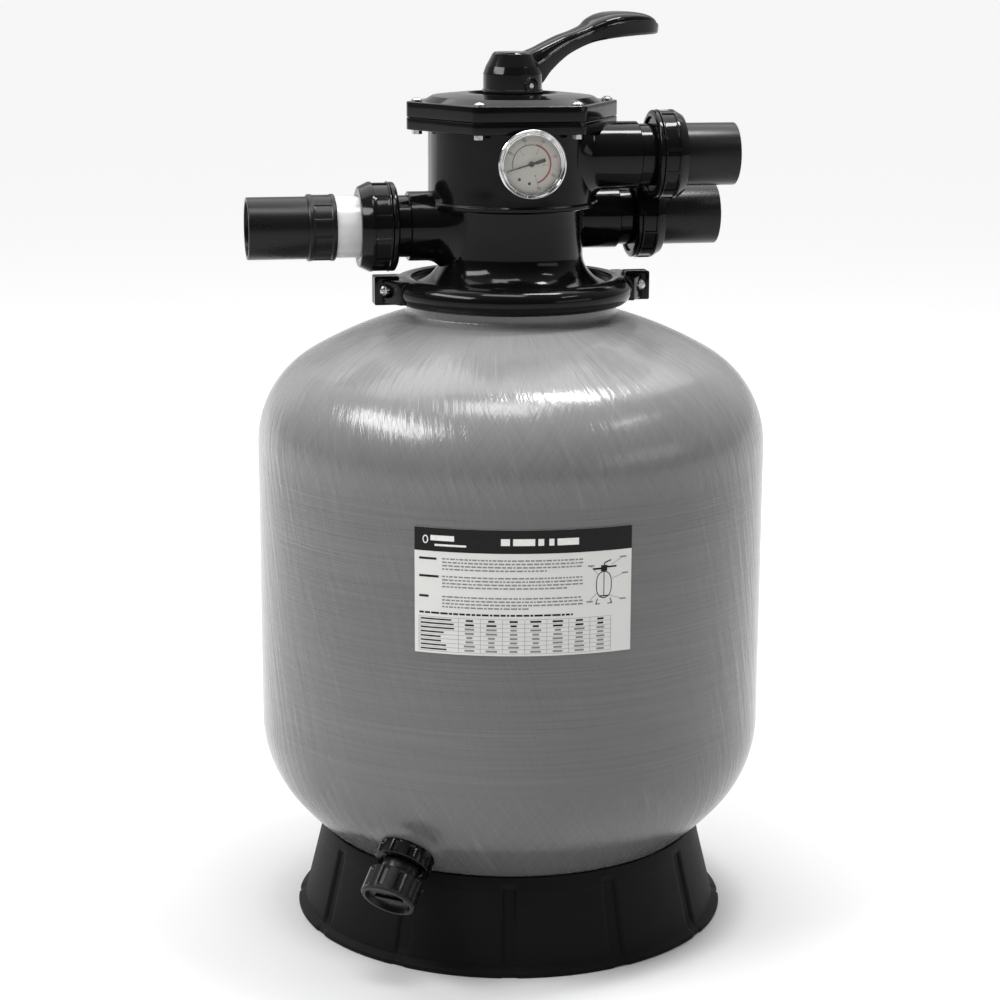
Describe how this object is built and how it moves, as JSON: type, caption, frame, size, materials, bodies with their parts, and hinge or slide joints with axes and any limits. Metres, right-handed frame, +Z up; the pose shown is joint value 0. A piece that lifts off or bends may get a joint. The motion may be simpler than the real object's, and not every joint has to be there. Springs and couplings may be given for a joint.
{
  "type": "sand filter tank",
  "caption": "Top-mount pool sand filter: wound fibreglass tank on a skirt base, clamped multiport valve with lever handle, gauge, unions, sight glass, drain and underdrain.",
  "frame": {"origin": "on the floor, on the tank's axis", "axes": "+Z up along the tank's axis, -Y towards the label and the gauge, +X towards the pump and return ports"},
  "size_m": [0.464, 0.4558, 0.816],
  "materials": {
    "wound_fibreglass": "glossy wound glass fibre in grey resin with fine hoop lines",
    "base_plastic": "matte black moulded plastic",
    "gloss_black_plastic": "polished black moulded plastic",
    "satin_black_plastic": "satin black plastic pipe",
    "label_film": null,
    "zinc_steel": "zinc-plated steel",
    "seal_rubber": "matte black rubber",
    "white_plastic": "natural white plastic",
    "bezel_chrome": "polished chrome",
    "dial_face": "off-white printed dial with a grey and red scale",
    "needle_black": "black painted pointer",
    "clear_lens": "clear plastic"
  },
  "bodies": {
    "vessel": {"base_skirt": "base_plastic", "tank_shell": "wound_fibreglass", "rating_label": "label_film", "clamp_front": "gloss_black_plastic", "clamp_back": "gloss_black_plastic", "clamp_bolt_left": "zinc_steel", "clamp_bolt_right": "zinc_steel", "clamp_nut_left": "zinc_steel", "clamp_nut_right": "zinc_steel", "neck_o_ring": "seal_rubber", "valve_body": "gloss_black_plastic", "valve_lid": "gloss_black_plastic", "lid_gasket": "seal_rubber", "spider_gasket": "seal_rubber", "stem_seal": "seal_rubber", "gauge_case": "gloss_black_plastic", "gauge_bezel": "bezel_chrome", "gauge_dial": "dial_face", "gauge_lens": "clear_lens", "pump_tailpiece": "satin_black_plastic", "return_tailpiece": "satin_black_plastic", "waste_coupling": "satin_black_plastic", "sight_glass": "clear_lens", "drain_body": "satin_black_plastic", "drain_lock_nut": "satin_black_plastic", "drain_gasket": "seal_rubber", "standpipe": "white_plastic", "diffuser": "white_plastic", "lateral_hub": "white_plastic", "lid_screw_1": "zinc_steel", "lid_nut_1": "zinc_steel", "lid_screw_2": "zinc_steel", "lid_nut_2": "zinc_steel", "lid_screw_3": "zinc_steel", "lid_nut_3": "zinc_steel", "lid_screw_4": "zinc_steel", "lid_nut_4": "zinc_steel", "lid_screw_5": "zinc_steel", "lid_nut_5": "zinc_steel", "lid_screw_6": "zinc_steel", "lid_nut_6": "zinc_steel", "lateral_1": "white_plastic", "lateral_2": "white_plastic", "lateral_3": "white_plastic", "lateral_4": "white_plastic", "lateral_5": "white_plastic", "lateral_6": "white_plastic", "lateral_7": "white_plastic", "lateral_8": "white_plastic"},
    "selector": {"handle_washer": "white_plastic"},
    "diverter": {"diverter": "white_plastic", "handle_pin": "zinc_steel", "spring": "zinc_steel"},
    "lever": {"handle": "gloss_black_plastic"},
    "needle": {"gauge_needle": "needle_black"},
    "pump_nut": {"pump_union_nut": "gloss_black_plastic"},
    "return_nut": {"return_union_nut": "gloss_black_plastic"},
    "waste_nut": {"waste_union_nut": "gloss_black_plastic"},
    "drain_plug": {"drain_cap": "satin_black_plastic"}
  },
  "joints": [
    {"name": "selector_turn", "type": "hinge", "parent": "vessel", "child": "selector", "pos_m": [0, 0, 0.745], "axis": [0, 0, 1], "continuous": true},
    {"name": "diverter_lift", "type": "slide", "parent": "selector", "child": "diverter", "axis": [0, 0, 1], "range_m": [0, 0.007], "deforming": ["spring"]},
    {"name": "handle_press", "type": "hinge", "parent": "diverter", "child": "lever", "pos_m": [0, 0, 0.7545], "axis": [-0.6521, 0.7581, 0], "range_deg": [0, 14], "stiffness_Nm_per_rad": 2.5, "springref_deg": -22.92},
    {"name": "gauge_needle_turn", "type": "hinge", "parent": "vessel", "child": "needle", "pos_m": [0.01615, -0.08549, 0.6926], "axis": [-0.1857, 0.9826, 0], "range_deg": [0, 270], "stiffness_Nm_per_rad": 0.0005, "springref_deg": -11.46},
    {"name": "pump_nut_turn", "type": "hinge", "parent": "vessel", "child": "pump_nut", "pos_m": [0.13477, 0.00308, 0.694], "axis": [0.9826, 0.1857, 0], "continuous": true},
    {"name": "return_nut_turn", "type": "hinge", "parent": "vessel", "child": "return_nut", "pos_m": [0.11933, 0.06326, 0.635], "axis": [0.9826, 0.1857, 0], "continuous": true},
    {"name": "waste_nut_turn", "type": "hinge", "parent": "vessel", "child": "waste_nut", "pos_m": [-0.11988, -0.02265, 0.632], "axis": [-0.9826, -0.1857, 0], "continuous": true},
    {"name": "drain_cap_turn", "type": "hinge", "parent": "vessel", "child": "drain_plug", "pos_m": [-0.10041, -0.2014, 0.08377], "axis": [-0.3316, -0.6651, -0.6691], "continuous": true}
  ],
  "couplings": [
    {"joint": "diverter_lift", "follows": "handle_press", "m_per_rad": 0.027}
  ]
}
